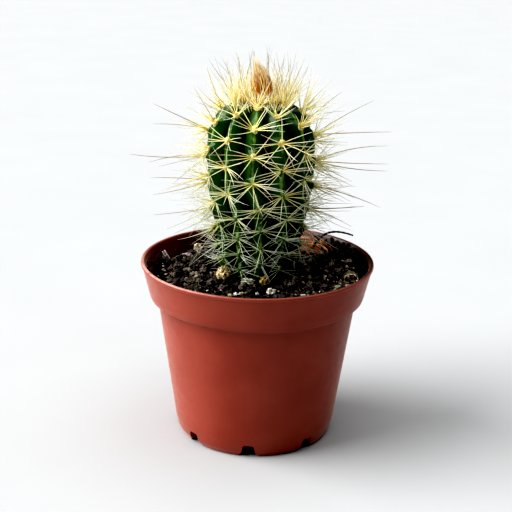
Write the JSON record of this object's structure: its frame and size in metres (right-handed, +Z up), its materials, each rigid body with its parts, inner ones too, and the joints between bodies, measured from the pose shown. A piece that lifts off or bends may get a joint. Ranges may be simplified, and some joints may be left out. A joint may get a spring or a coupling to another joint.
{
  "type": "potted column cactus",
  "caption": "Young ribbed column cactus with golden spines and a rust-red crown tuft, in peat and grit in a round terracotta-red plastic nursery pot.",
  "frame": {"origin": "middle of the pot's foot, on the surface that the pot stands on", "axes": "+Z up along the stem, -Y towards the front of the picture, +X to its right"},
  "size_m": [0.093, 0.093, 0.1416],
  "materials": {
    "terracotta_plastic": "satin moulded polypropylene",
    "peat_and_grit": "moist crumbly peat with grit",
    "cactus_skin": "waxy green skin",
    "golden_spines": "smooth horny spines",
    "young_spines": "smooth horny spines",
    "dry_husk": "papery and dry",
    "pale_grit": "dull stone",
    "white_grit": "dull perlite",
    "tan_grit": "dull stone",
    "bark": "fibrous bark",
    "dry_leaf": "papery and dry",
    "dark_root": "dry root"
  },
  "bodies": {
    "root": {"pot": "terracotta_plastic", "soil": "peat_and_grit", "cactus_stem": "cactus_skin", "crown_spines": "golden_spines", "crown_tuft": "young_spines", "dry_husk": "dry_husk", "pale_flake": "pale_grit", "yellow_bract": "dry_husk", "white_grain_1": "white_grit", "white_grain_2": "white_grit", "tan_pebble": "tan_grit", "pink_pebble": "pale_grit", "grey_pebble": "tan_grit", "green_grain": "pale_grit", "bark_chip": "bark", "curled_leaf": "dry_leaf", "bare_root": "dark_root"}
  },
  "joints": []
}
